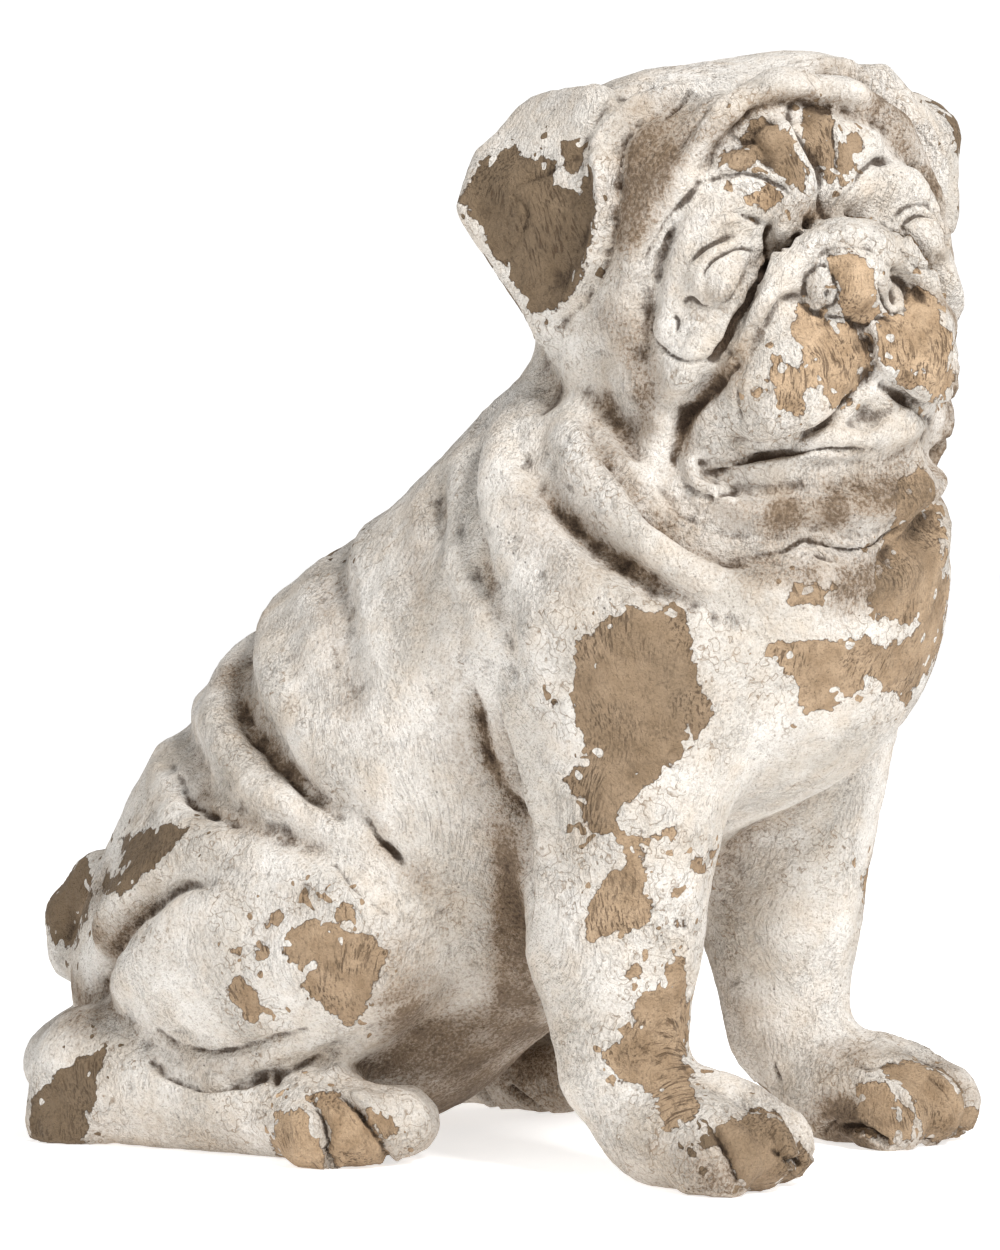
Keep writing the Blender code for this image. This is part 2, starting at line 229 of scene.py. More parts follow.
def stroke(skin, profile, width, height, places, mirror=None):
    """Lays one stroke, width and height in mm, and its mirror image where one is asked for."""
    laid = [skin.seen_at(u, v) for u, v in places]
    for copy in (0, 1) if mirror else (0,):
        if copy:
            laid = [skin.tree.find_nearest(mirror(point))[0] for point in laid]
        found = [skin.tree.find_nearest(point) for point in curve_through(laid)]
        route = np.array([f[0] for f in found])
        facing = np.array([f[1] for f in found])
        right_hand = np.cross(np.gradient(route, axis=0), facing) * (-1 if copy else 1)
        right_hand /= np.linalg.norm(right_hand, axis=1)[:, None] + 1e-12
        wobble = np.array([noise.noise(Vector(p) / HAND_WOBBLE) for p in route.tolist()])
        route += right_hand * wobble[:, None] * HAND_STRAY
        reach = PROFILE_REACH * width * MM
        low, high = route.min(axis=0) - reach, route.max(axis=0) + reach
        near = np.flatnonzero(((skin.points > low) & (skin.points < high)).all(axis=1))
        if not len(near):
            continue
        gaps = np.linalg.norm(skin.points[near, None] - route[None], axis=2)
        closest = gaps.argmin(axis=1)
        gap = gaps[np.arange(len(near)), closest] / (width * MM)
        off = skin.points[near] - route[closest]
        side = (off * right_hand[closest]).sum(axis=1) / (width * MM)
        share = np.clip(closest / (len(route) - 1), 0.03, 0.97)
        fade = np.sin(np.pi * share) ** 0.4                    # soft at both ends
        agree = np.clip((skin.normals[near] * facing[closest]).sum(axis=1) * FACING_GAIN, 0, 1)
        pressure = 1 + HAND_PRESSURE * wobble[::-1][closest]
        skin.push[near] += height * MM * fade * agree * pressure * profile(gap, side)


def carve(what, strokes, mirror=None):
    for profile, width, height, places in strokes:
        stroke(skin, profile, width, height, places, mirror)
    print(what, "strokes:", len(strokes))


print("step of a stroke in mm:", STROKE_STEP / MM)


# %% Dabs
def dab(skin, u, v, wide, high, height, turn=0, sharp=2, mirror=None):
    """Pushes an oval spot of the skin out or in: half sizes in pixels, height in mm."""
    centre = skin.seen_at(u, v)
    scale = (camera_place - centre).dot(camera_back) / FOCAL_PIXELS
    facing = skin.tree.find_nearest(centre)[1]
    for copy in (0, 1) if mirror else (0,):
        middle, right, up, out = centre, camera_right, camera_up, facing
        if copy:
            middle = skin.tree.find_nearest(mirror(centre))[0]
            right, up, out = (mirror(centre + way) - mirror(centre) for way in (right, up, out))
        off = skin.points - np.array(middle)
        x, y = off @ np.array(right), off @ np.array(up)
        c, s = math.cos(math.radians(turn)), math.sin(math.radians(turn))
        oval = ((x * c + y * s) / (wide * scale)) ** 2 + ((y * c - x * s) / (high * scale)) ** 2
        deep = np.abs(off @ np.array(out)) < 2.5 * max(wide, high) * scale
        agree = np.clip(skin.normals @ np.array(out) * FACING_GAIN, 0, 1)
        skin.push += height * MM * np.exp(-oval ** (sharp / 2)) * deep * agree


print("one pixel at the dog, in mm:", round(VIEW_DISTANCE / FOCAL_PIXELS / MM, 2))

# %% [markdown]
# The far side doesn't show in the photograph, so it takes the mirror image of what does. The body
# is mirrored in its own middle plane, and the head, which is turned and tipped, in the plane
# through the nose.

# %% Mirrors
HEAD_TURN = math.radians(-36)
HEAD_TIP = math.radians(10)
NOSE_MIDDLE = (853, 285)

head_face = Matrix.Rotation(HEAD_TURN, 3, "Z") @ Vector((0, -1, 0))
head_left = (Matrix.Rotation(HEAD_TIP, 3, head_face)
             @ Matrix.Rotation(HEAD_TURN, 3, "Z") @ Vector((1, 0, 0)))
skin = Skin(dog)
nose_point = skin.seen_at(*NOSE_MIDDLE)


def in_body(point):
    return Vector((-point.x, point.y, point.z))


def in_head(point):
    return point - 2 * (point - nose_point).dot(head_left) * head_left


print("nose at, in mm:", [round(v / MM) for v in nose_point])

# %% [markdown]
# ## Broad forms
#
# First come the forms that are a finger wide or more: the rolls of the collar, the folds that
# hang down the flank, the haunch, the ears' rims and the great roll over the nose.

# %% Broad folds of the body
BODY_FORMS = [
    # profile, width, height in mm, places
    (fold, 3.5, 3, [(343, 815), (300, 776), (272, 752), (248, 716), (237, 674), (238, 640)]),
    (fold, 3.5, 3, [(246, 828), (217, 818), (196, 803), (179, 777), (160, 748)]),
    (fold, 3, 3.5, [(532, 825), (507, 791), (490, 749), (478, 703), (466, 662)]),
    (fold, 4.5, 2.5, [(515, 660), (494, 610), (470, 560), (456, 515), (450, 470)]),
    (fold, 4, 1.8, [(341, 680), (334, 650), (322, 600), (312, 560)]),
    (crease, 4, 3, [(106, 985), (120, 951), (137, 926), (162, 903), (187, 886), (214, 880)]),
    (crease, 3, 1.5, [(362, 812), (378, 836), (396, 856), (424, 878)]),
    (roll, 9, 2.5, [(205, 650), (215, 720), (250, 775), (310, 820)]),
    (roll, 9, 2.5, [(272, 625), (270, 680), (292, 735), (335, 785), (380, 812)]),
    (roll, 8, 2, [(150, 770), (165, 806), (200, 834)]),
    (roll, 9, 1.5, [(385, 520), (392, 570), (410, 620)]),
    (roll, 10, 2.5, [(486, 470), (490, 530), (512, 590), (545, 640)]),
]

carve("body", BODY_FORMS, in_body)

# %% Collar, jaw and ear
NECK_AND_EAR = [
    # profile, width, height in mm, places
    (fold, 3.2, 5, [(773, 558), (725, 554), (698, 546), (674, 530), (652, 509), (634, 482),
                    (612, 455), (590, 422)]),
    (fold, 3.4, 4, [(712, 612), (661, 582), (617, 555), (580, 525), (545, 487), (522, 440),
                    (514, 402)]),
    (roll, 7, 2.5, [(548, 400), (562, 450), (592, 492), (640, 537), (700, 578), (750, 598)]),
    (roll, 4, 2.5, [(805, 542), (832, 548), (864, 548), (888, 538)]),
    (roll, 3.4, 4.2, [(700, 86), (660, 94), (628, 106), (606, 128), (598, 155), (602, 190),
                      (599, 225), (589, 262), (568, 296), (548, 316)]),
    (fold, 1.9, 5, [(690, 95), (662, 106), (636, 120), (618, 146), (612, 190), (609, 225),
                    (600, 262), (580, 300), (562, 322)]),
    (crease, 2, 3, [(655, 84), (628, 95), (606, 112), (592, 128), (584, 146), (580, 168)]),
]
carve("neck and ear", NECK_AND_EAR, in_head)

# %% Broad forms of the face
FACE_FORMS = [
    # the ring of skin round the face, and the creases on either side of it
    (roll, 6, 2, [(615, 320), (628, 260), (650, 215), (682, 165), (708, 128), (740, 98),
                  (784, 82), (835, 86), (884, 108), (923, 146), (946, 190), (958, 225)]),
    (crease, 2.5, 2, [(741, 84), (725, 92), (706, 108), (695, 126), (682, 144), (664, 166)]),
    (crease, 2.4, 2.2, [(700, 176), (717, 150), (738, 128), (751, 113), (767, 107), (789, 104),
                        (810, 104), (829, 112), (845, 124), (870, 130)]),
    # the hollow between that ring and the brow is filled, and the brow mass laid over it
    (roll, 6, 5.5, [(700, 188), (668, 222), (650, 256), (650, 294)]),
    (roll, 9, 1.5, [(690, 262), (692, 230), (716, 206), (750, 202)]),
    (roll, 6, 11, [(786, 190), (790, 208), (790, 226), (784, 244)]),
    (roll, 4.5, 3.5, [(756, 268), (742, 292), (728, 316), (714, 338), (696, 350)]),
    (roll, 8, 2, [(872, 190), (900, 184), (930, 200), (946, 225)]),
    # the great roll over the nose
    (roll, 4.2, 2, [(728, 362), (742, 340), (765, 303), (785, 270), (812, 246), (840, 235),
                    (870, 240), (894, 255), (918, 276), (938, 300), (950, 330)]),
    (crease, 2.4, 2.5, [(742, 372), (760, 332), (782, 302), (800, 296), (803, 280), (813, 262),
                        (828, 251), (846, 247), (868, 250), (885, 262), (902, 281),
                        (925, 300)]),
    # the cheek: its small lobe, the dark fold round the mouth, and the ridge outside that
    (roll, 8, 3, [(662, 372), (686, 376), (708, 368)]),
    (roll, 6, 3, [(700, 392), (684, 412), (668, 440)]),
    (fold, 2.6, 4.5, [(706, 498), (688, 488), (679, 470), (678, 450), (684, 428), (696, 411),
                      (711, 395), (728, 376)]),
    (roll, 6.5, 2, [(660, 395), (653, 420), (648, 450), (654, 485), (676, 515), (709, 534),
                    (750, 544), (795, 532)]),
    # the mouth
    (roll, 8, 2.5, [(735, 440), (775, 425), (812, 405), (845, 385)]),
    (crease, 2.2, 3, [(872, 366), (862, 388), (840, 406), (820, 427), (796, 443), (770, 452),
                      (735, 457), (704, 460)]),
    (crease, 2.2, 2, [(872, 366), (888, 382), (905, 398), (922, 412), (940, 418)]),
    (crease, 3.5, 2, [(712, 494), (750, 488), (790, 486), (830, 487), (868, 482), (888, 470)]),
    (crease, 2.2, 2.5, [(860, 326), (868, 344), (872, 362)]),
]
carve("face", FACE_FORMS)
dab(skin, 970, 366, 24, 46, -9)
dab(skin, 958, 440, 20, 25, -3)
carve("paw", [(roll, 9, -6, [(705, 1078), (740, 1090), (775, 1103), (802, 1128)]),
              (roll, 9, -4, [(880, 1040), (920, 1046), (955, 1060)])])
BROAD_LIMIT = 11 * MM
skin.settle(BROAD_LIMIT, BROAD_LIMIT)

# %% [markdown]
# The carved skin is stretched in its creases, and two deep cuts may cross. A second voxel remesh
# gives it an even grid again, fine enough for eyelids and nostrils.

# %% Even the skin again
FINE_GRID = 1.2 * MM

apply_modifier(dog, "REMESH", mode="VOXEL", voxel_size=FINE_GRID)
apply_modifier(dog, "SMOOTH", factor=0.4, iterations=1)
skin = Skin(dog)
print("skin points:", len(dog.data.vertices))

# %% [markdown]
# ## The face
#
# A pug's face is loose skin over a flat skull: four lobes on the forehead, heavy brows, bags under
# round eyes, a bare nose pad with comma nostrils, and upper lips that hang over the mouth. The
# eyes are domes with a faint ring cut for the pupil, as the real casting has them.

# %% Forehead, brows and eyes
FOREHEAD = [
    (roll, 5, 2.5, [(760, 128), (774, 148), (792, 176)]),
    (roll, 4, 2.5, [(815, 120), (819, 142), (830, 172)]),
    (roll, 4.5, 2.5, [(850, 130), (852, 155), (844, 184)]),
    (roll, 5, 1.5, [(712, 168), (735, 155), (752, 150)]),
    (crease, 1.6, 2.2, [(790, 106), (794, 124), (805, 148), (818, 170), (822, 190), (826, 218)]),
    (crease, 1.5, 1.8, [(834, 120), (835, 145), (838, 172)]),
    (crease, 1.6, 2, [(698, 181), (720, 176), (745, 174), (766, 178), (790, 194), (800, 216)]),
    (crease, 1.3, 1, [(768, 120), (784, 142), (801, 168)]),
    (crease, 1.3, 1, [(735, 140), (752, 142), (766, 152)]),
    (crease, 1.8, 2, [(856, 178), (866, 167), (878, 161), (892, 160)]),
    (crease, 1.3, 1.2, [(840, 205), (850, 190), (858, 178)]),
]
NEAR_EYE = [
    (crease, 1.5, 1.6, [(700, 184), (684, 200), (670, 216), (656, 240), (646, 262)]),
    (crease, 1.5, 1.5, [(704, 230), (718, 219), (736, 213), (752, 219), (766, 230)]),
    (crease, 1.6, 3, [(770, 222), (766, 238), (766, 256), (768, 264)]),
    (crease, 1.7, 4, [(796, 238), (784, 250), (768, 266), (760, 282), (746, 303), (733, 325),
                      (724, 345), (712, 360)]),
    (crease, 1.1, 1.3, [(689, 266), (698, 254), (710, 245), (733, 237)]),
    (crease, 1.2, 2.2, [(703, 284), (707, 268), (720, 255), (738, 247), (754, 251)]),
    (crease, 1.1, 1.5, [(684, 302), (692, 299), (702, 304), (716, 306)]),
    (crease, 1.1, 1.5, [(655, 318), (654, 333), (663, 348), (677, 358), (694, 362), (712, 357)]),
    (crease, 1.2, 1.3, [(671, 314), (678, 321), (676, 332)]),
]
FAR_EYE = [
    (crease, 1.4, 2.6, [(903, 240), (904, 226), (916, 216), (932, 217), (943, 226), (946, 242)]),
    (crease, 1.2, 1, [(890, 228), (898, 214), (912, 206), (928, 206)]),
    (crease, 1.2, 1.8, [(903, 250), (913, 264), (928, 269), (941, 258)]),
]
carve("forehead and eye", FOREHEAD + NEAR_EYE + FAR_EYE)

dab(skin, 726, 284, 30, 26, 2.4, turn=30)
dab(skin, 784, 230, 11, 14, 5)
dab(skin, 923, 243, 17, 24, 3, sharp=3)
dab(skin, 664, 328, 9, 14, 1.4)
dab(skin, 912, 190, 5, 6, -1.5)
PUPIL_RING = 13
RING_STOPS = 12


def ring(u, v, wide, high):
    turns = [math.tau * i / RING_STOPS for i in range(RING_STOPS + 1)]
    return [(u + wide * math.cos(turn), v + high * math.sin(turn)) for turn in turns]


carve("pupil", [(crease, 0.9, 1, ring(719, 287, PUPIL_RING, PUPIL_RING)),
                (crease, 0.9, 0.5, ring(923, 243, PUPIL_RING * 0.7, PUPIL_RING))])

# %% Nose
NOSE = [
    (crease, 1.1, 1, [(808, 300), (803, 290), (808, 275), (820, 266), (830, 268)]),
    (crease, 1.3, 2.4, [(824, 266), (832, 276), (838, 290), (834, 304), (822, 310)]),
    (crease, 1.1, 1.2, [(802, 302), (812, 310), (826, 316), (846, 320), (862, 330)]),
    (crease, 1.3, 2.2, [(880, 276), (879, 288), (884, 302), (892, 311), (904, 308)]),
    (crease, 1.2, 1.2, [(886, 276), (898, 282), (906, 294), (904, 308)]),
    (crease, 1.2, 1.5, [(846, 316), (862, 326), (880, 318), (900, 318)]),
    (roll, 3, 1.2, [(854, 300), (862, 318)]),
]
carve("nose", NOSE)
dab(skin, 852, 280, 24, 24, 4)
dab(skin, 828, 292, 5, 10, -2.5, turn=-15)
dab(skin, 893, 298, 4, 8, -2, turn=15)

# %% Mouth and cheeks
MOUTH = [
    (roll, 2.6, 2.5, [(790, 444), (815, 438), (838, 431), (852, 437), (868, 442), (884, 430),
                      (894, 417), (912, 412), (928, 418)]),
    (crease, 1.8, 2.5, [(880, 386), (900, 400), (916, 414), (930, 422)]),
    (crease, 1.6, 2.5, [(700, 462), (735, 461), (773, 455), (808, 450), (848, 450), (872, 449)]),
    (roll, 2.4, 2, [(700, 454), (690, 462), (689, 478), (702, 489), (730, 490)]),
    (crease, 2, 2, [(684, 470), (690, 486), (709, 496), (732, 494)]),
    (crease, 1.6, 1.5, [(728, 350), (738, 362), (728, 378)]),
    (crease, 1.3, 1.2, [(740, 380), (738, 400), (742, 425)]),
]
carve("mouth", MOUTH)
dab(skin, 868, 408, 20, 14, -1.2, turn=-12)
dab(skin, 720, 470, 15, 6, -4)
LIP_LUMPS = [(818, 332), (842, 340), (858, 358), (838, 365), (815, 360), (845, 385), (822, 385),
             (800, 400), (795, 345), (896, 335), (918, 320), (925, 350), (902, 358), (932, 380),
             (912, 378)]
for u, v in LIP_LUMPS:
    dab(skin, u, v, 6, 5, 1.8)
print("lip lumps:", len(LIP_LUMPS))

# %% Ear, jaw and collar details
NECK_LINES = [
    (crease, 1.4, 1.6, [(690, 90), (682, 104), (660, 120)]),
    (crease, 1.3, 1.2, [(717, 75), (708, 85), (709, 93)]),
    (crease, 1.4, 2, [(757, 556), (780, 552), (805, 541), (832, 547), (864, 547), (888, 539),
                      (904, 525)]),
    (crease, 1.3, 1.2, [(800, 556), (812, 548), (818, 556), (836, 562)]),
    (crease, 1.3, 1.2, [(859, 64), (901, 88), (925, 104), (944, 134), (955, 160), (965, 192)]),
    (crease, 1.4, 1, [(640, 480), (650, 498), (668, 512)]),
]
carve("fine neck", NECK_LINES, in_head)

# %% [markdown]
# ## Feet and haunch
#
# The toes are parted by cuts down to the ground, and claws are only hinted at by slits. Behind the
# knee lie two deep creases with a bright roll between them, where the thigh meets the hock.

# %% Feet and haunch
FOOT_LINES = [
    (crease, 2.2, 6, [(312, 1096), (322, 1120), (326, 1148), (328, 1176)]),
    (crease, 1.8, 4.5, [(340, 1094), (358, 1113), (374, 1134), (386, 1150)]),
    (crease, 1.8, 4, [(386, 1146), (389, 1162), (389, 1176)]),
    (roll, 5, 2.5, [(296, 1112), (300, 1140), (300, 1165)]),
    (roll, 5, 2, [(344, 1110), (356, 1140), (358, 1165)]),
    (crease, 2.2, 4.5, [(708, 1126), (720, 1146), (732, 1170), (742, 1190)]),
    (crease, 1.8, 4, [(762, 1116), (774, 1138), (786, 1160), (798, 1178)]),
    (roll, 5, 2, [(738, 1124), (752, 1150), (762, 1176)]),
    (roll, 4, 1.8, [(690, 1150), (700, 1170), (712, 1185)]),
    (crease, 1.2, 2, [(790, 1160), (791, 1170), (793, 1180)]),
    (crease, 1.2, 2, [(803, 1156), (810, 1168), (818, 1182)]),
    (crease, 1.8, 2.5, [(890, 1078), (902, 1098), (912, 1118), (920, 1140)]),
    (crease, 1.6, 2, [(930, 1075), (948, 1095), (962, 1118)]),
    (crease, 1.4, 1.6, [(850, 1062), (870, 1067), (896, 1060)]),
    (crease, 1.2, 1.6, [(774, 1062), (777, 1072), (781, 1083)]),
    (crease, 2.2, 4, [(152, 1063), (166, 1074), (182, 1082), (208, 1088), (240, 1085),
                      (266, 1076), (282, 1072)]),
    (crease, 1.5, 1.6, [(282, 1074), (300, 1066), (318, 1056)]),
    (crease, 1.8, 2.4, [(158, 1031), (172, 1041), (186, 1047), (204, 1052), (222, 1051),
                        (250, 1046), (278, 1038), (306, 1030)]),
    (roll, 3, 2, [(180, 1064), (210, 1070), (245, 1066), (280, 1056)]),
    (crease, 1.5, 2.2, [(368, 820), (378, 836), (394, 852), (404, 870)]),
    (crease, 1.3, 1.5, [(336, 866), (352, 886), (366, 898), (386, 914)]),
    (crease, 1.8, 1.6, [(242, 728), (276, 764), (309, 798), (339, 818)]),
    (crease, 2, 2, [(120, 951), (137, 926), (162, 904), (187, 888), (213, 884)]),
    (crease, 1.8, 1.8, [(179, 777), (191, 801), (217, 818), (242, 828)]),
]
carve("foot and haunch", FOOT_LINES, in_body)
dab(skin, 276, 1078, 5, 6, -3.5, mirror=in_body)

# %% [markdown]
# ## Bare patches
#
# The wash has flaked off down to a tan undercoat. The outlines below are the large flakes that
# the photograph shows, with only the corners that they need: the finish roughens their edges.
# Each point of the skin gets its distance in mm to the nearest edge, above zero inside a flake.
# Sides that the camera doesn't see get flakes of the same size from a soft 3-D noise.

# %% Outlines of the flakes
BROWN, DULL, MIXED, TAN, PALE = 1.0, 0.65, 0.55, 0.3, 0.0
FLAKES = [
    # how brown, corners
    (BROWN, [(461, 200), (483, 161), (516, 145), (532, 160), (555, 158), (558, 184), (578, 192),
        (590, 165), (596, 205), (592, 250), (575, 290), (556, 312), (532, 312), (500, 262)]),
    (BROWN, [(562, 141), (588, 138), (582, 160), (574, 180), (560, 166)]),
    (MIXED, [(750, 117), (780, 122), (791, 150), (808, 172), (802, 191), (780, 178), (758, 166),
        (719, 169), (725, 153), (741, 144)]),
    (MIXED, [(802, 109), (829, 109), (836, 128), (834, 150), (836, 172), (829, 188), (813, 161),
        (802, 139)]),
    (MIXED, [(838, 136), (857, 131), (865, 147), (854, 172), (842, 188), (837, 165)]),
    (PALE, [(748, 199), (758, 184), (778, 186), (781, 201), (766, 210), (754, 208)]),
    (PALE, [(826, 256), (848, 250), (868, 255), (875, 275), (872, 292), (880, 310), (865, 326),
        (846, 320), (839, 303), (842, 288), (832, 270)]),
    (PALE, [(800, 304), (825, 320), (850, 323), (870, 345), (870, 370), (848, 402), (832, 410),
        (822, 390), (806, 395), (800, 420), (785, 412), (778, 388), (765, 380), (772, 352),
        (800, 374), (803, 355), (790, 328)]),
    (PALE, [(880, 320), (902, 314), (905, 295), (918, 288), (935, 300), (950, 340), (948, 365),
        (956, 377), (944, 396), (930, 406), (924, 386), (905, 388), (884, 362)]),
    (DULL, [(626, 608), (683, 610), (691, 661), (706, 699), (717, 711), (698, 741), (673, 756),
        (656, 779), (622, 808), (603, 833), (590, 836), (582, 798), (559, 779), (590, 762),
        (582, 741), (574, 690), (580, 644), (597, 629)]),
    (TAN, [(614, 829), (654, 836), (639, 867), (645, 892), (658, 909), (643, 930), (609, 932),
        (590, 941), (588, 901), (611, 871), (626, 865)]),
    (TAN, [(673, 951), (685, 964), (689, 1019), (685, 1060), (697, 1095), (697, 1115),
        (684, 1131), (666, 1128), (653, 1095), (622, 1080), (603, 1055), (632, 1031), (635, 993),
        (654, 989)]),
    (TAN, [(795, 583), (837, 583), (824, 606), (803, 608), (788, 600)]),
    (TAN, [(917, 462), (936, 487), (950, 600), (942, 653), (904, 701), (870, 680), (853, 695),
        (807, 714), (792, 671), (767, 655), (774, 642), (820, 638), (866, 640), (887, 648),
        (921, 623), (879, 623), (870, 602), (876, 560), (893, 520), (895, 490)]),
    (TAN, [(855, 1085), (884, 1081), (900, 1098), (915, 1122), (915, 1143), (872, 1140),
        (849, 1121), (858, 1105)]),
    (TAN, [(882, 1068), (905, 1063), (936, 1068), (956, 1085), (978, 1108), (975, 1128),
        (950, 1143), (926, 1143), (918, 1116), (906, 1092)]),
    (MIXED, [(712, 1128), (745, 1115), (776, 1112), (796, 1133), (816, 1163), (806, 1190),
        (756, 1197), (738, 1180), (722, 1152)]),
    (BROWN, [(696, 1120), (716, 1128), (718, 1146), (704, 1148)]),
    (BROWN, [(925, 86), (946, 94), (962, 122), (968, 168), (955, 152), (946, 118)]),
    (BROWN, [(966, 188), (974, 214), (973, 246), (964, 230)]),
    (BROWN, [(678, 1145), (697, 1145), (695, 1160), (681, 1158)]),
    (TAN, [(288, 926), (318, 918), (347, 935), (372, 935), (387, 951), (372, 993), (364, 1017),
        (347, 1023), (322, 1006), (297, 985), (318, 962), (299, 966), (282, 953)]),
    (TAN, [(223, 985), (242, 975), (259, 998), (269, 1012), (250, 1021), (227, 998)]),
    (BROWN, [(120, 838), (150, 828), (191, 825), (179, 842), (145, 874), (124, 892)]),
    (BROWN, [(95, 888), (104, 875), (126, 872), (130, 882), (116, 896)]),
    (PALE, [(278, 1116), (300, 1108), (317, 1120), (322, 1160), (318, 1180), (291, 1180),
        (273, 1150)]),
    (PALE, [(305, 1098), (330, 1092), (352, 1102), (373, 1126), (386, 1148), (385, 1172),
        (362, 1185), (336, 1178), (330, 1150), (327, 1120)]),
    (TAN, [(364, 1108), (385, 1115), (402, 1132), (384, 1138)]),
    (BROWN, [(30, 1140), (33, 1100), (60, 1070), (90, 1055), (110, 1045), (106, 1062), (95, 1080),
        (92, 1105), (82, 1140), (98, 1162), (50, 1160)]),
    (BROWN, [(38, 862), (60, 850), (90, 862), (92, 900), (74, 945), (48, 940)]),
    (BROWN, [(398, 428), (426, 428), (408, 452), (384, 472), (350, 522), (330, 560), (318, 545),
        (345, 500), (370, 460)]),
    (TAN, [(864, 868), (872, 866), (868, 908)]),
]
SPOTS = [(263, 951, 9), (276, 920, 8), (347, 911, 11), (305, 892, 5), (238, 953, 3),
         (555, 703, 7), (698, 865, 7), (668, 834, 5), (685, 924, 6), (635, 970, 6),
         (712, 855, 4), (675, 892, 4), (576, 638, 4), (760, 393, 4), (703, 1170, 7)]
print("flakes:", len(FLAKES), "spots:", len(SPOTS))

# %% Picture places and outlines
PIXELS_IN_MM = FOCAL_PIXELS / VIEW_DISTANCE * MM
FAR_FROM_FLAKE = -25.0            # in mm, where no flake is near
HIDDEN_FLAKE = 48 * MM            # size of the flakes that the camera doesn't see
HIDDEN_LEVEL = 0.27               # what that noise has to pass for a flake to be there
HIDDEN_SLOPE = 45                 # mm of distance for one unit of that noise


def picture_places(points):
    off = points - np.array(camera_place)
    depth = -(off @ np.array(camera_back))
    u = PHOTO_SIZE[0] / 2 + off @ np.array(camera_right) / depth * FOCAL_PIXELS
    v = PHOTO_SIZE[1] / 2 - off @ np.array(camera_up) / depth * FOCAL_PIXELS
    return np.stack((u, v), axis=1)


def inside_by(places, corners):
    """Signed distance in pixels from each picture place to an outline, above zero inside."""
    corners = np.array(corners, float)
    best = np.full(len(places), 1e9)
    inside = np.zeros(len(places), bool)
    for start, end in zip(corners, np.roll(corners, -1, axis=0)):
        along, off = end - start, places - start
        share = np.clip(off @ along / (along @ along), 0, 1)
        best = np.minimum(best, np.hypot(*(off - share[:, None] * along).T))
        straddles = (start[1] > places[:, 1]) != (end[1] > places[:, 1])
        cut = start[0] + (places[:, 1] - start[1]) / (along[1] or 1e-9) * along[0]
        inside ^= straddles & (places[:, 0] < cut)
    return np.where(inside, best, -best)


print("pixels in a mm:", round(PIXELS_IN_MM, 2))


# %% Distance to the flakes
def seen_by_camera(skin):
    facing = skin.normals @ np.array(camera_back)
    seen = facing > 0.02
    for i in np.flatnonzero(seen):
        point = Vector(skin.points[i]) + Vector(skin.normals[i]) * 0.8 * MM
        seen[i] = skin.tree.ray_cast(point, camera_place - point)[0] is None
    return seen


def bare_by(skin, seen):
    """Distance in mm to the nearest flake's edge, and how brown that flake is."""
    places = picture_places(skin.points)
    bare = np.full(len(places), FAR_FROM_FLAKE)
    brown = np.zeros(len(places))
    margin = -FAR_FROM_FLAKE * PIXELS_IN_MM
    for shade, corners in FLAKES:
        low, high = np.min(corners, axis=0) - margin, np.max(corners, axis=0) + margin
        near = np.flatnonzero(seen & (places > low).all(axis=1) & (places < high).all(axis=1))
        gap = inside_by(places[near], corners) / PIXELS_IN_MM
        closer = gap > bare[near]
        bare[near[closer]] = gap[closer]
        brown[near[closer]] = shade
    for u, v, radius in SPOTS:
        gap = (radius - np.hypot(*(places - (u, v)).T)) / PIXELS_IN_MM
        bare = np.where(seen & (gap > bare), gap, bare)
    for i in np.flatnonzero(~seen):
        place = Vector(skin.points[i]) / HIDDEN_FLAKE
        bare[i] = (noise.fractal(place, 1, 2, 2) - HIDDEN_LEVEL) * HIDDEN_SLOPE
        brown[i] = TAN + 0.6 * (noise.noise(place * 0.5 + Vector((3, 1, 2))) > 0.1)
    return bare, brown


seen = seen_by_camera(skin)
bare, brown = bare_by(skin, seen)
print("share of the skin that the camera sees:", seen.mean().round(2))
print("share of it that is bare:", (bare[seen] > 0).mean().round(3))

# %% [markdown]
# The undercoat lies lower than the wash, so the skin is let in where a flake is gone, with an edge
# that a coarse noise makes ragged. The rest of the skin gets the slight unevenness of a surface
# that was modelled by hand: low swells, and small lumps like those of brushed-on slip.

# %% Let in the flakes and roughen the skin
FLAKE_DEPTH = 0.55 * MM
SWELL = (14 * MM, 0.6 * MM)       # size and height of the swells
LUMP = (4.5 * MM, 0.35 * MM)      # size and height of the lumps

ragged = np.empty(len(skin.points))
uneven = np.empty(len(skin.points))
for i, place in enumerate(skin.points.tolist()):
    place = Vector(place)
    ragged[i] = noise.fractal(place / (9 * MM), 0.6, 2, 3)
    uneven[i] = (noise.noise(place / SWELL[0]) * SWELL[1]
                 + noise.noise(place / LUMP[0]) * LUMP[1])
EDGE_STRAY, EDGE_WIDTH = 3.2, 1.2  # in mm: how far the edge strays, how wide its slope is
edge = np.clip((bare + EDGE_STRAY * ragged) / EDGE_WIDTH + 0.5, 0, 1)
skin.push += uneven - FLAKE_DEPTH * edge
DEEPEST, HIGHEST = 7 * MM, 4 * MM
skin.settle(DEEPEST, HIGHEST)
print("share of the skin let in:", (edge > 0.5).mean().round(3))

# %% [markdown]
# ## Fewer faces
#
# The skin has more faces than a model needs. The collapse decimation keeps faces where the form
# turns sharply. It is told to spare the front of the head, so that the lids and lips stay crisp.

# %% Thin out
FACE_COUNT = 196000
HEAD_REACH = 78 * MM              # how far from the nose the skin is spared


def triangles(mesh):
    return sum(len(face.vertices) - 2 for face in mesh.polygons)


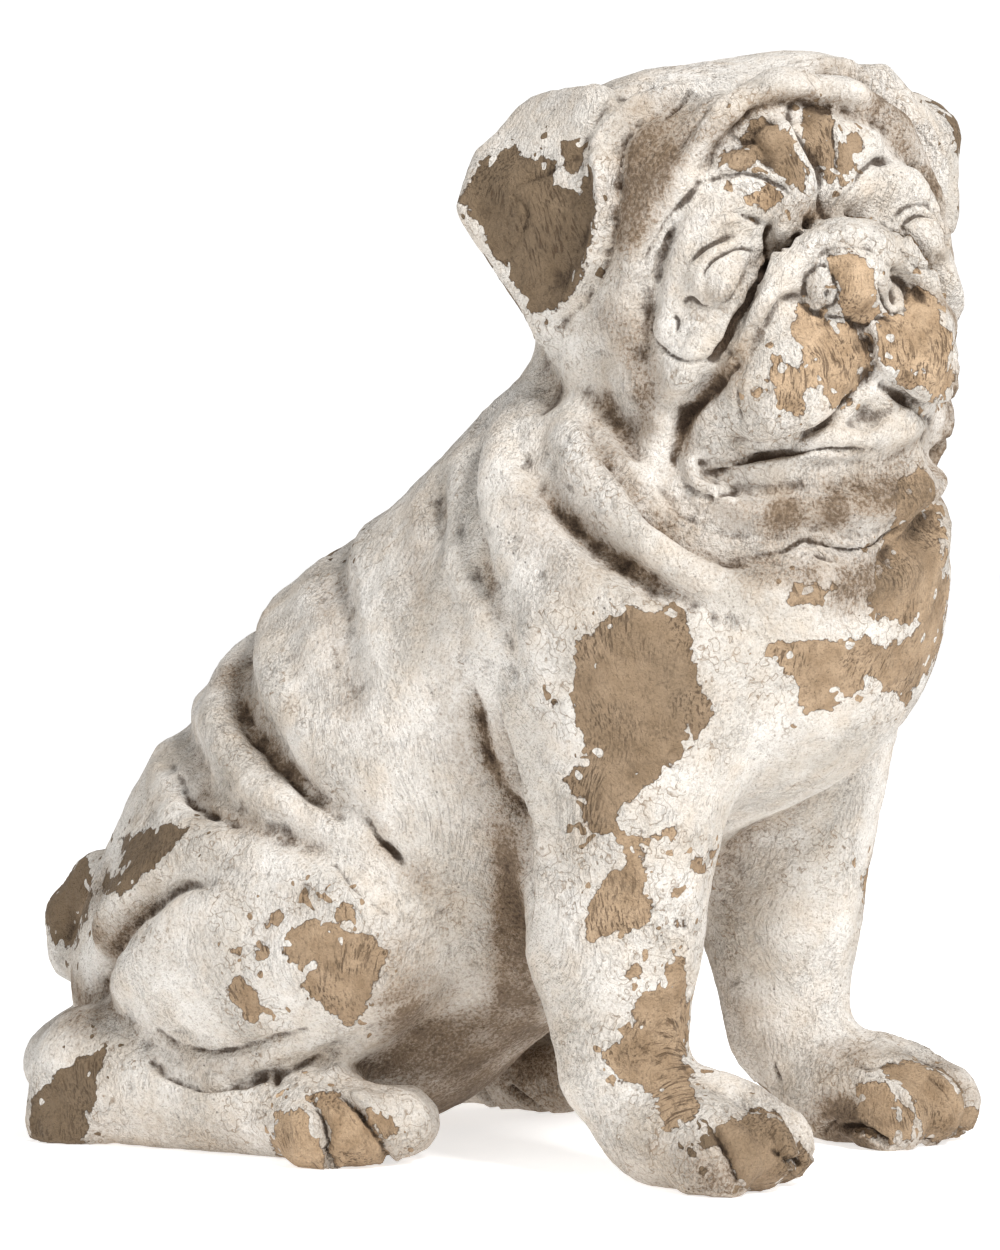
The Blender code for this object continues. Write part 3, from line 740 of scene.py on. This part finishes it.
away = np.linalg.norm(skin.points - np.array(nose_point), axis=1) > HEAD_REACH
group = dog.vertex_groups.new(name="thinned")
group.add(np.flatnonzero(away).tolist(), 1.0, "REPLACE")
apply_modifier(dog, "DECIMATE", ratio=FACE_COUNT / triangles(dog.data), vertex_group="thinned")
dog.vertex_groups.clear()
dog.data.shade_smooth()
print("triangles:", triangles(dog.data), "points:", len(dog.data.vertices))

# %% [markdown]
# ## What the finish needs to know
#
# Dirt settles where the skin is hollow and where a finger can't wipe it off, and painted shade is
# laid with it there and where the statue shelters itself. Three values are worked out for each
# point: `cut`, how far it lies below the skin a few mm around it; `hollow`, the same over a few
# finger widths; and `shelter`, the share of the sky around it that the statue itself covers. The
# stain strokes are the stain that the maker brushed on, and painted shade under the belly and
# behind the foreleg, laid in soft wide strokes where the photograph shows it. `bare` and `brown`
# are the flakes from before.

# %% Stain that was brushed on, and painted shade
# Most strokes are stain; the wide strokes under the belly and behind the foreleg also paint shade
# there.
STAIN_AND_SHADE_STROKES = [
    # width in mm, strength, places
    (9, 0.75, [(263, 629), (238, 671), (247, 718), (272, 755), (297, 776), (331, 810)]),
    (9, 0.6, [(318, 545), (327, 596), (331, 638), (339, 667), (368, 730)]),
    (6, 0.7, [(175, 730), (196, 789), (242, 823), (318, 852)]),
    (5, 0.6, [(486, 545), (495, 596), (507, 625)]),
    (12, 0.6, [(455, 670), (470, 739), (490, 800), (500, 840)]),
    (4, 0.8, [(478, 703), (490, 749), (507, 791)]),
    (6, 0.7, [(365, 815), (385, 850), (420, 880), (450, 900)]),
    # painted shade with dirt under the belly and behind the foreleg
    (26, 1, [(410, 985), (450, 1030), (490, 1080), (530, 1110)]),
    (9, 2, [(506, 820), (512, 880), (514, 960), (520, 1040)]),
    (12, 0.8, [(400, 960), (400, 1010), (410, 1060)]),
    (12, 0.9, [(100, 870), (100, 940), (92, 1010)]),
    (9, 1.1, [(72, 950), (74, 990), (78, 1030)]),
    (8, 1, [(150, 900), (118, 950), (105, 1010)]),
    (7, 0.5, [(120, 1150), (240, 1160), (370, 1175)]),
    (8, 0.5, [(160, 1040), (200, 1060), (260, 1060)]),
    (9, 0.8, [(632, 628), (655, 650), (676, 690), (668, 730)]),
    (9, 0.5, [(425, 500), (415, 560), (430, 620)]),
    (8, 0.6, [(410, 430), (370, 480), (340, 530)]),
    (8, 0.5, [(280, 570), (230, 620), (180, 680)]),
    (8, 0.8, [(540, 480), (570, 520), (620, 560), (680, 600)]),
    (7, 0.9, [(590, 430), (610, 470), (650, 515), (700, 550)]),
    (12, 0.5, [(520, 480), (545, 540), (600, 590)]),
    (8, 1, [(592, 318), (606, 316), (622, 334), (640, 375)]),
    (5, 0.5, [(606, 350), (612, 410), (632, 460)]),
    (7, 1, [(640, 375), (645, 410), (640, 440)]),
    (9, 1.6, [(672, 115), (644, 155), (630, 205), (618, 262)]),
    (8, 1.2, [(700, 120), (668, 165), (650, 205), (640, 240)]),
    (9, 0.5, [(640, 280), (650, 330), (672, 400)]),
    (5, 1.2, [(740, 350), (722, 385), (700, 410), (688, 440), (684, 470)]),
    (5, 0.6, [(758, 320), (740, 360), (745, 400)]),
    (12, 1.1, [(700, 500), (760, 512), (830, 512), (895, 480)]),
    (5, 0.5, [(720, 470), (780, 458), (850, 455)]),
    (6, 0.5, [(690, 290), (712, 300), (735, 290), (750, 265)]),
    (9, 0.4, [(800, 75), (850, 75), (900, 110), (935, 150)]),
    (6, 0.5, [(700, 165), (740, 115), (800, 98), (850, 115)]),
    (6, 0.6, [(800, 200), (825, 215), (850, 200)]),
    (11, 0.9, [(720, 570), (790, 572), (850, 590), (890, 560)]),
    (10, 0.9, [(650, 1130), (710, 1170), (775, 1190)]),
    (9, 0.7, [(720, 1120), (770, 1125), (810, 1165)]),
    (9, 0.5, [(560, 1090), (590, 1150), (640, 1185)]),
    (10, 0.4, [(715, 960), (740, 1010), (770, 1060)]),
    (10, 0.5, [(830, 1070), (880, 1050), (940, 1070)]),
]
print("stain strokes:", len(STAIN_AND_SHADE_STROKES))

# %% Eased copies of the skin
BODY_ROUNDS = 4
FACE_ROUNDS = 14                  # more than on the body, because the mesh is finer there
FINGER_ROUNDS = 150
EASE = 0.6                        # how far each round moves a point to its neighbours' middle


def eased(points, pairs, rounds):
    count = np.bincount(pairs.ravel(), minlength=len(points)).astype(float)
    for _ in range(rounds):
        total = np.stack([np.bincount(pairs[:, 0], points[pairs[:, 1], axis], len(points))
                          + np.bincount(pairs[:, 1], points[pairs[:, 0], axis], len(points))
                          for axis in range(points.shape[1])], axis=1)
        points = points * (1 - EASE) + total / count[:, None] * EASE
    return points


print("rounds of easing:", BODY_ROUNDS, FACE_ROUNDS, FINGER_ROUNDS)

# %% Shelter from the sky, which the finish paints in as shade
SKY_RAYS = 14
SKY_REACH = 150 * MM


def shelter_of(skin):
    spiral = math.pi * (3 - math.sqrt(5))
    rays = []
    for i in range(SKY_RAYS):
        rise = math.sqrt((i + 0.5) / SKY_RAYS)
        flat = math.sqrt(1 - rise * rise)
        rays.append((math.cos(i * spiral) * flat, math.sin(i * spiral) * flat, rise))
    covered = np.empty(len(skin.points))
    for i, (point, normal) in enumerate(zip(skin.points.tolist(), skin.normals.tolist())):
        normal = Vector(normal)
        side = normal.orthogonal().normalized()
        other = normal.cross(side)
        start = Vector(point) + normal * 0.5 * MM
        hits = 0
        for x, y, z in rays:
            way = side * x + other * y + normal * z
            hits += skin.tree.ray_cast(start, way, SKY_REACH)[0] is not None
        covered[i] = hits / SKY_RAYS
    return covered


print("rays from each point:", SKY_RAYS)

# %% Values on the points
HEAD_LINE = 600                   # stain that starts above this picture line goes with the head


def give(mesh, name, values):
    layer = mesh.attributes.new(name, "FLOAT", "POINT")
    layer.data.foreach_set("value", np.asarray(values, dtype=np.float32))
    print(f"{name}: {np.percentile(values, 5):.2f} to {np.percentile(values, 95):.2f}")


skin = Skin(dog)
skin.settle(0, 0)                 # thinning had moved a few points just outside the solid's box
skin = Skin(dog)
pairs = np.empty(len(dog.data.edges) * 2, dtype=int)
dog.data.edges.foreach_get("vertices", pairs)
pairs = pairs.reshape(-1, 2)
far_off = np.linalg.norm(skin.points - np.array(nose_point), axis=1) / HEAD_REACH
body_share = np.clip((far_off - 0.9) / 0.2, 0, 1)[:, None]
near_form = (eased(skin.points, pairs, BODY_ROUNDS) * body_share
             + eased(skin.points, pairs, FACE_ROUNDS) * (1 - body_share))
finger_form = eased(near_form, pairs, FINGER_ROUNDS)
cut = ((near_form - skin.points) * skin.normals).sum(axis=1) / MM
hollow = ((finger_form - skin.points) * skin.normals).sum(axis=1) / MM
shelter = eased(shelter_of(skin)[:, None], pairs, 2)[:, 0]
seen = seen_by_camera(skin)
bare, brown = bare_by(skin, seen)
brown = eased(brown[:, None], pairs, 3)[:, 0]
for width, strength, places in STAIN_AND_SHADE_STROKES:
    mirror = in_head if places[0][1] < HEAD_LINE else in_body
    stroke(skin, roll, width, strength, places, mirror)
stain_and_shade = np.clip(skin.push / MM, 0, 1.3)
for name, values in (("cut", cut), ("hollow", hollow), ("shelter", shelter), ("stain_and_shade", stain_and_shade),
                     ("bare", bare), ("brown", brown)):
    give(dog.data, name, values)

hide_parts("statue")
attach(dog, "root")

# %% [markdown]
# ## The finish
#
# The statue is cast stone: a fine mortar pressed in a mould. A maker brushes on a tan undercoat,
# then a thick lime whitewash, and when that is dry rubs, chips and stains it. The wash is matt
# and chalky, cream on the high places; umber dirt lies in the hollows; and where the wash has
# flaked the undercoat shows, with its hair lines filled with dirt.

# %% Node tools
def linear(code):
    """An sRGB hex colour as the linear values that a shader wants."""
    parts = [int(code[i:i + 2], 16) / 255 for i in (0, 2, 4)]
    return (*[p / 12.92 if p <= 0.04045 else ((p + 0.055) / 1.055) ** 2.4 for p in parts], 1)


def add(tree, kind, *inputs, out=None, **settings):
    """Adds a node, sets or links its open inputs in order, and gives back one of its outputs."""
    node = tree.nodes.new("ShaderNode" + kind)
    for key, value in settings.items():
        setattr(node, key, value)
    for socket, value in zip([socket for socket in node.inputs if socket.enabled], inputs):
        if isinstance(value, bpy.types.NodeSocket):
            tree.links.new(value, socket)
        elif value is not None:
            socket.default_value = value
    return node.outputs[out] if out else next(s for s in node.outputs if s.enabled)


def per(size_mm):
    """The noise scale, in turns per metre, that gives features of about this size."""
    return 1000 / size_mm


WASH = linear("EAE5DE")             # lime wash on the high places
WASH_WORN = linear("C3BBB0")        # wash rubbed thin, the mortar greying it
WASH_WARM = linear("D2BFA8")        # wash stained by the undercoat below
UNDERCOAT = linear("CAAE8F")        # tan undercoat
UNDERCOAT_DARK = linear("A1876A")
UNDERCOAT_BROWN = linear("6E5D49")  # undercoat weathered to grey brown
DIRT_AND_SHADE = linear("836B50")             # umber dirt, thin, and the thin painted shade laid with it
DIRT_AND_SHADE_DEEP = linear("3A2B1F")        # umber dirt packed in the creases, and the painted shade there
HAIR_LINE = linear("4E3A28")
print("wash in linear light:", [round(v, 3) for v in WASH[:3]])

# %% Lime wash on cast stone: what it reads
lime_wash = bpy.data.materials.new("lime_wash_on_cast_stone")
lime_wash.use_nodes = True
tree = lime_wash.node_tree
shader = tree.nodes["Principled BSDF"]
place = add(tree, "TexCoord", out="Object")
value = {name: add(tree, "Attribute", attribute_name=name, out="Fac")
         for name in ("cut", "hollow", "shelter", "stain_and_shade", "bare", "brown")}
print("values read:", list(value))

# %% [markdown]
# All the fine marks come from noises, each as large as the real mark. A brush mark or a modelled
# hair is long and thin, so its noise gets places that are squeezed along one direction and bent
# a little. Sand is finer than a millimetre in truth and is drawn at 1.5 mm so that it shows.

# %% Noises
RUNS = {
    # how long marks run: their turn, and how many times longer than wide they are
    "down": ((0.5, 0.35, 0), 9),
    "across": ((-0.7, 0.9, 0), 9),
    "hair": ((0.45, 0.3, 0.2), 6),
}
NOISES = {
    # size in mm, detail, roughness, how its marks run
    "edge": (9, 3, 0.6, None),
    "edge_fine": (3, 2, 0.5, None),
    "chips": (6.5, 1, 0.5, None),
    "islands": (7.5, 1, 0.5, None),
    "brush_turn": (60, 1, 0.55, None),
    "brush_down": (1.5, 2, 0.65, "down"),
    "brush_across": (1.5, 2, 0.65, "across"),
    "hair": (1.1, 2, 0.6, "hair"),
    "hair_zone": (22, 1, 0.55, None),
    "sand": (1.5, 2, 0.7, None),
    "slip": (5, 3, 0.6, None),
    "ledge": (17, 3, 0.55, None),
    "ledge_zone": (38, 2, 0.55, None),
    "worn": (42, 3, 0.6, None),
    "warm": (15, 3, 0.65, None),
    "dirt_cloud": (26, 3, 0.6, None),
    "speck_zone": (20, 1, 0.55, None),
    "coat_cloud": (14, 3, 0.6, None),
    "gloss": (7, 1, 0.6, None),
}
bend = add(tree, "TexNoise", place, per(70), 1.0, out="Color")
bent = add(tree, "VectorMath", bend, (0.06, 0.06, 0.03), operation="MULTIPLY")
moved = add(tree, "VectorMath", place, bent, operation="ADD")
run = {name: add(tree, "Mapping", moved, (0, 0, 0), turn, (1, 1, 1 / longer))
       for name, (turn, longer) in RUNS.items()}
mark = {name: add(tree, "TexNoise", run.get(way, place), per(size), detail, roughness)
        for name, (size, detail, roughness, way) in NOISES.items()}
print("noises:", len(mark))

# %% Edges of the flakes
# The distance to a flake's edge is made ragged at two sizes, with small chips gone around the
# flake and small islands left inside it.
chips = add(tree, "MapRange", mark["chips"], 0.66, 0.72)
islands = add(tree, "MapRange", mark["islands"], 0.35, 0.29)
reach = -7.1
for part, weight in ((value["bare"], 1), (mark["edge"], 12), (mark["edge_fine"], 2.2),
                     (chips, 9), (islands, -7)):
    reach = add(tree, "Math", part, weight, reach, operation="MULTIPLY_ADD")
gone = add(tree, "MapRange", reach, -0.12, 0.12)
# A dark line is painted round each flake's edge as the shade of the step where the wash ends.
rim = add(tree, "MapRange", add(tree, "Math", reach, operation="ABSOLUTE"), 0.45, 0.0)
print("nodes so far:", len(tree.nodes))

# %% Brush marks, hair, pits and ledges
# Thick wash dries in ledges, like the lines of a map, and mostly beside the flakes.
brush_turn = add(tree, "MapRange", mark["brush_turn"], 0.46, 0.54)
brush = add(tree, "Mix", brush_turn, mark["brush_down"], mark["brush_across"], data_type="RGBA")
hair_zone = add(tree, "MapRange", mark["hair_zone"], 0.42, 0.58)
hair = add(tree, "MapRange", mark["hair"], 0.46, 0.36)
hair_cut = add(tree, "Math", hair, hair_zone, operation="MULTIPLY")
pits = add(tree, "MapRange", mark["sand"], 0.43, 0.30)
pin = add(tree, "TexVoronoi", place, per(4.5))
pin_head = add(tree, "MapRange", pin, 0.13, 0.05)
speck_zone = add(tree, "MapRange", mark["speck_zone"], 0.5, 0.66)
speck = add(tree, "Math", pin_head, speck_zone, operation="MULTIPLY")
steps = add(tree, "Math", mark["ledge"], 9.0, operation="MULTIPLY")
ledge = add(tree, "Math", steps, operation="FRACT")
by_flakes = add(tree, "MapRange", value["bare"], -22, -4, 0, 0.12)
thick = add(tree, "Math", mark["ledge_zone"], by_flakes, operation="ADD")
ledge_zone = add(tree, "MapRange", thick, 0.54, 0.62)
ledge_line = add(tree, "Math", add(tree, "MapRange", ledge, 0.16, 0.0), ledge_zone,
                 operation="MULTIPLY")
ledge_rise = add(tree, "Math", ledge, ledge_zone, operation="MULTIPLY")
print("nodes so far:", len(tree.nodes))

# %% [markdown]
# Dirt and painted shade are laid together: darker in hollows, where the statue shelters itself
# from the sky, towards the ground, and in the strokes that the maker brushed on, some of which
# paint shade. Sand and brush marks break its edge up. It comes in three strengths: a thin one,
# a deep one, and the line that fills a crease, which is painted shade as much as dirt.

# %% Dirt and painted shade
height = add(tree, "SeparateXYZ", place, out="Z")
# Painted shade with dirt: hollows, sheltered skin and the stain strokes darken the colour, and it
# gets darker towards the ground over the lowest 24 mm.
dirt_and_shade_sum = 0.0
for part, weight in ((add(tree, "MapRange", value["hollow"], 1.0, 6.5), 0.55),
                     (add(tree, "MapRange", value["shelter"], 0.36, 0.88), 0.58),
                     (value["stain_and_shade"], 0.7),
                     (add(tree, "MapRange", height, 0.024, 0.002), 0.4)):
    dirt_and_shade_sum = add(tree, "Math", part, weight, dirt_and_shade_sum, operation="MULTIPLY_ADD")
cloud = add(tree, "MapRange", mark["dirt_cloud"], 0.34, 0.66, 0.8, 1.15)
dirt_and_shade = add(tree, "Math", dirt_and_shade_sum, cloud, -0.97, operation="MULTIPLY_ADD")
for part, weight in ((add(tree, "MapRange", value["cut"], 0.3, 1.3), 0.4),
                     (mark["sand"], 1.4), (mark["slip"], 0.2), (brush, 0.35)):
    dirt_and_shade = add(tree, "Math", part, weight, dirt_and_shade, operation="MULTIPLY_ADD")
thin_dirt_and_shade = add(tree, "MapRange", dirt_and_shade, 0.02, 0.92)
deep_dirt_and_shade = add(tree, "MapRange", dirt_and_shade, 0.66, 1.5)
crease_depth = add(tree, "Math", mark["sand"], 0.7, value["cut"], operation="MULTIPLY_ADD")
crease_dirt_and_shade = add(tree, "MapRange", crease_depth, 0.56, 1.1)
print("nodes so far:", len(tree.nodes))

# %% Layers of colour
# Each layer lies over the one before: how much of it shows, its weight, and its colour.
worn = add(tree, "MapRange", mark["worn"], 0.36, 0.66)
warm = add(tree, "MapRange", mark["warm"], 0.44, 0.70)
coat_cloud = add(tree, "MapRange", mark["coat_cloud"], 0.35, 0.68)
# The thin, deep and crease layers are dirt and painted shade together, and the rim is painted
# shade at the flakes' edges; pits and specks are dirt.
WASH_LAYERS = [(worn, 0.8, WASH_WORN), (warm, 0.4, WASH_WARM), (thin_dirt_and_shade, 0.9, DIRT_AND_SHADE),
               (pits, 0.5, DIRT_AND_SHADE), (speck, 0.7, DIRT_AND_SHADE_DEEP), (ledge_line, 0.75, DIRT_AND_SHADE)]
COAT_LAYERS = [(coat_cloud, 1.0, UNDERCOAT_DARK), (value["brown"], 0.9, UNDERCOAT_BROWN),
               (pits, 0.6, UNDERCOAT_BROWN), (hair_cut, 0.7, HAIR_LINE),
               (thin_dirt_and_shade, 0.6, UNDERCOAT_BROWN)]
TOP_LAYERS = [(rim, 0.55, HAIR_LINE), (deep_dirt_and_shade, 0.85, DIRT_AND_SHADE_DEEP), (crease_dirt_and_shade, 0.8, DIRT_AND_SHADE_DEEP)]


def layered(colour, layers):
    for share, weight, over in layers:
        shown = add(tree, "Math", share, weight, operation="MULTIPLY")
        colour = add(tree, "Mix", shown, colour, over, data_type="RGBA")
    return colour


wash = layered(WASH, WASH_LAYERS)
coat = layered(UNDERCOAT, COAT_LAYERS)
colour = layered(add(tree, "Mix", gone, wash, coat, data_type="RGBA"), TOP_LAYERS)
tree.links.new(colour, shader.inputs["Base Color"])
print("layers:", len(WASH_LAYERS) + len(COAT_LAYERS) + len(TOP_LAYERS))

# %% Gloss and relief
# Lime wash is chalky and matt. The relief is finer than the mesh, and its weights are in mm.
rough = add(tree, "MapRange", mark["gloss"], 0.3, 0.7, 0.74, 0.92)
tree.links.new(rough, shader.inputs["Roughness"])
shader.inputs["Specular IOR Level"].default_value = 0.3
relief = 0.0
for part, weight in ((mark["slip"], 2.5), (mark["sand"], 1.5), (brush, 0.45), (hair_cut, -0.6),
                     (speck, -0.4), (gone, -0.9), (ledge_rise, 1.1)):
    relief = add(tree, "Math", part, weight, relief, operation="MULTIPLY_ADD")
bump = add(tree, "Bump", 1.0, MM, None, relief)
tree.links.new(bump, shader.inputs["Normal"])
dog.data.materials.clear()
dog.data.materials.append(lime_wash)
print("finish:", dog.data.materials[0].name, "with", len(tree.nodes), "nodes")

# %% [markdown]
# ## A plain studio
#
# The floor is pale paper, and the light is soft: a large lamp high in front on the right, a
# weaker one on the left, and an even surround. The surround looks white, as in the photograph,
# but lights the dog less than it looks, so that the folds keep their shade.

# %% Floor
def studio_paper():
    material = bpy.data.materials.new("white_studio_paper")
    material.use_nodes = True
    shader = material.node_tree.nodes["Principled BSDF"]
    shader.inputs["Base Color"].default_value = (0.93, 0.93, 0.93, 1)
    shader.inputs["Roughness"].default_value = 0.9
    shader.inputs["Emission Color"].default_value = (1, 1, 1, 1)
    shader.inputs["Emission Strength"].default_value = 0.62
    return material


def add_floor():
    mesh = bpy.data.meshes.new("floor")
    clay = bmesh.new()
    bmesh.ops.create_grid(clay, x_segments=1, y_segments=1, size=8)
    clay.to_mesh(mesh)
    clay.free()
    floor = bpy.data.objects.new("floor", mesh)
    bpy.context.scene.collection.objects.link(floor)
    floor.data.materials.append(studio_paper())
    return floor


floor = add_floor()
print("floor in m:", round(floor.dimensions.x, 1))

# %% Lights
def add_light(name, place, size, power):
    lamp = bpy.data.lights.new(name, "AREA")
    lamp.shape = "DISK"
    lamp.size = size
    lamp.energy = power
    light = bpy.data.objects.new(name, lamp)
    light.location = place
    aim = VIEW_TARGET - Vector(place)
    light.rotation_euler = aim.to_track_quat("-Z", "Y").to_euler()
    bpy.context.scene.collection.objects.link(light)
    return light


def from_camera(right, up, back):
    return VIEW_TARGET + camera_right * right + camera_up * up + camera_back * back


add_light("key", from_camera(0.9, 1.5, 1.4), 0.6, 45)
add_light("fill", from_camera(-1.7, 0.9, 1.0), 1.2, 6)

LIGHT_OF_SURROUND = 0.42
WHITE_TO_THE_EYE = 1.1
world = bpy.data.worlds.new("studio")
bpy.context.scene.world = world
world.use_nodes = True
surround = world.node_tree.nodes["Background"]
surround.inputs["Color"].default_value = (1, 1, 1, 1)
ray = add(world.node_tree, "LightPath", out="Is Camera Ray")
strength = add(world.node_tree, "MapRange", ray, 0, 1, LIGHT_OF_SURROUND, WHITE_TO_THE_EYE)
world.node_tree.links.new(strength, surround.inputs["Strength"])
bpy.context.scene.view_settings.view_transform = "Standard"
print("lights:", [light.name for light in bpy.data.lights])
